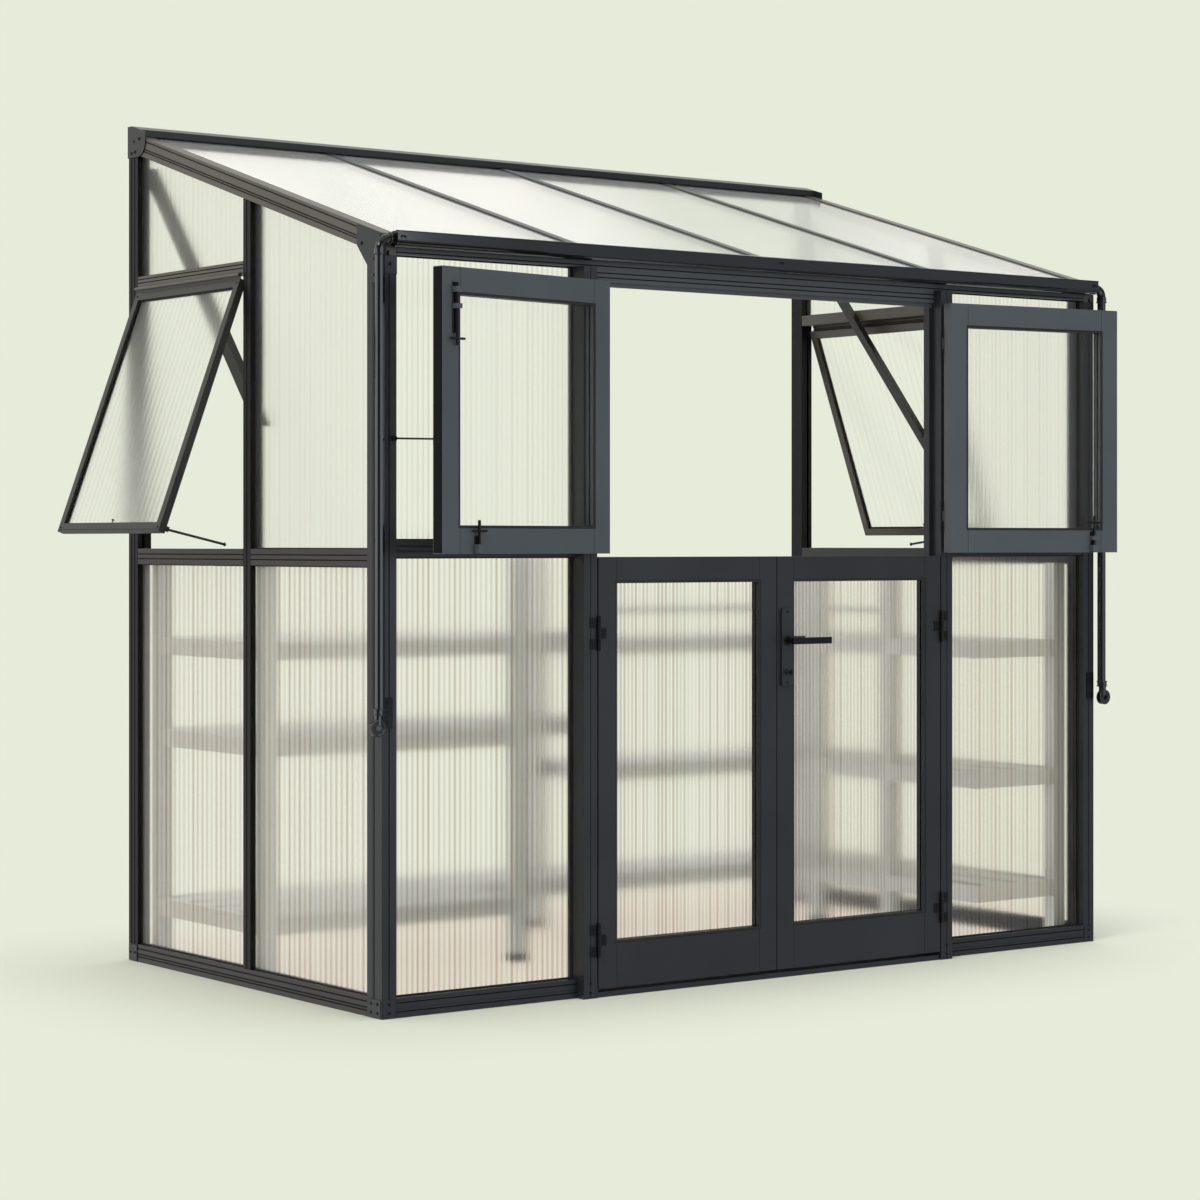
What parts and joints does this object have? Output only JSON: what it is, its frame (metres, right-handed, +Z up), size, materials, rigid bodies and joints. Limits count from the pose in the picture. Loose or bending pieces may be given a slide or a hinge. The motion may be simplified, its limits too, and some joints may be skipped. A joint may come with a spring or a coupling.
{
  "type": "lean to greenhouse",
  "caption": "Lean-to greenhouse: charcoal frame, twin-wall glazing, stable doors with split leaves, top-hung side windows on stays, gutter with short downpipes.",
  "frame": {"origin": "underside of the front sill, at the middle of its length and of its depth", "axes": "+X along the front from the left gable to the right gable, +Y towards the wall it leans on, +Z up"},
  "size_m": [3.003, 1.5403, 2.368],
  "materials": {
    "frame": "charcoal powder coat, satin",
    "glazing": "clear twin-wall polycarbonate with upright flutes",
    "pipe": "black moulded plastic",
    "fitting": "black coated steel, satin",
    "shelf": "plain mill finish, dull"
  },
  "bodies": {
    "house": {"left_front_post": "frame", "left_back_post": "frame", "left_gable_sill": "frame", "left_gable_mid_rail": "frame", "left_gable_mullion": "frame", "left_window_head": "frame", "left_gable_rafter": "frame", "left_gable_brace": "frame", "left_lower_gable_panel": "glazing", "left_upper_front_gable_panel": "glazing", "left_upper_back_gable_panel": "glazing", "left_door_jamb": "frame", "left_front_rail": "frame", "left_front_panel": "glazing", "left_downpipe": "pipe", "right_front_post": "frame", "right_back_post": "frame", "right_gable_sill": "frame", "right_gable_mid_rail": "frame", "right_gable_mullion": "frame", "right_window_head": "frame", "right_gable_rafter": "frame", "right_gable_brace": "frame", "right_lower_gable_panel": "glazing", "right_upper_front_gable_panel": "glazing", "right_upper_back_gable_panel": "glazing", "right_door_jamb": "frame", "right_front_rail": "frame", "right_front_panel": "glazing", "right_downpipe": "pipe", "front_sill": "frame", "eave_beam": "frame", "ridge_beam": "frame", "gutter": "frame", "roof_panel_1": "glazing", "roof_panel_2": "glazing", "roof_panel_3": "glazing", "roof_panel_4": "glazing", "left_shelving": "shelf", "right_shelving": "shelf"},
    "lower_left_leaf": {"lower_left_leaf_frame": "frame", "lower_left_leaf_panel": "glazing"},
    "lower_right_leaf": {"lower_right_leaf_frame": "frame", "lower_right_leaf_panel": "glazing"},
    "upper_left_leaf": {"upper_left_leaf_frame": "frame", "upper_left_leaf_panel": "glazing"},
    "upper_right_leaf": {"upper_right_leaf_frame": "frame", "upper_right_leaf_panel": "glazing"},
    "lever": {"lever_handle": "fitting"},
    "left_top_bolt": {"left_top_bolt": "fitting"},
    "left_bottom_bolt": {"left_bottom_bolt": "fitting"},
    "right_bottom_bolt": {"right_bottom_bolt": "fitting"},
    "left_window": {"left_window_frame": "frame", "left_window_panel": "glazing"},
    "left_stay": {"left_window_stay": "frame"},
    "right_window": {"right_window_frame": "frame", "right_window_panel": "glazing"},
    "right_stay": {"right_window_stay": "frame"},
    "hook": {"cabin_hook": "fitting"}
  },
  "joints": [
    {"name": "lower_left_leaf_hinge", "type": "hinge", "parent": "house", "child": "lower_left_leaf", "pos_m": [-0.605, -0.0575, 0.587], "axis": [0, 0, -1], "range_deg": [0, 170]},
    {"name": "lower_right_leaf_hinge", "type": "hinge", "parent": "house", "child": "lower_right_leaf", "pos_m": [0.605, -0.0575, 0.587], "axis": [0, 0, 1], "range_deg": [0, 170]},
    {"name": "upper_left_leaf_hinge", "type": "hinge", "parent": "house", "child": "upper_left_leaf", "pos_m": [-0.605, -0.0575, 1.507], "axis": [0, 0, -1], "range_deg": [-169.5, 0]},
    {"name": "upper_right_leaf_hinge", "type": "hinge", "parent": "house", "child": "upper_right_leaf", "pos_m": [0.605, -0.0575, 1.507], "axis": [0, 0, 1], "range_deg": [-173.5, 0]},
    {"name": "lever_turn", "type": "hinge", "parent": "lower_right_leaf", "child": "lever", "pos_m": [0.0315, -0.0345, 0.919], "axis": [0, 1, 0], "range_deg": [0, 45], "stiffness_Nm_per_rad": 0.3, "springref_deg": -34.38},
    {"name": "left_top_bolt_slide", "type": "slide", "parent": "upper_left_leaf", "child": "left_top_bolt", "axis": [0, 0, 1], "range_m": [0, 0.06]},
    {"name": "left_bottom_bolt_slide", "type": "slide", "parent": "upper_left_leaf", "child": "left_bottom_bolt", "axis": [0, 0, 1], "range_m": [-0.028, 0]},
    {"name": "right_bottom_bolt_slide", "type": "slide", "parent": "upper_right_leaf", "child": "right_bottom_bolt", "axis": [0, 0, 1], "range_m": [-0.028, 0]},
    {"name": "left_window_hinge", "type": "hinge", "parent": "house", "child": "left_window", "pos_m": [-1.257, 0.96975, 1.901], "axis": [0, 1, 0], "range_deg": [-20, 0]},
    {"name": "left_stay_turn", "type": "hinge", "parent": "left_window", "child": "left_stay", "pos_m": [-1.47139, 0.6785, 1.22134], "axis": [0, 1, 0], "range_deg": [0, 10]},
    {"name": "right_window_hinge", "type": "hinge", "parent": "house", "child": "right_window", "pos_m": [1.257, 0.96975, 1.901], "axis": [0, -1, 0], "range_deg": [-20, 0]},
    {"name": "right_stay_turn", "type": "hinge", "parent": "right_window", "child": "right_stay", "pos_m": [1.47139, 0.6785, 1.22134], "axis": [0, -1, 0], "range_deg": [0, 10]},
    {"name": "hook_turn", "type": "hinge", "parent": "house", "child": "hook", "pos_m": [-1.2155, -0.0285, 1.446], "axis": [1, 0, 0], "range_deg": [-80, 0]}
  ],
  "couplings": [
    {"joint": "left_stay_turn", "follows": "left_window_hinge", "ratio": -0.5},
    {"joint": "right_stay_turn", "follows": "right_window_hinge", "ratio": -0.5}
  ]
}
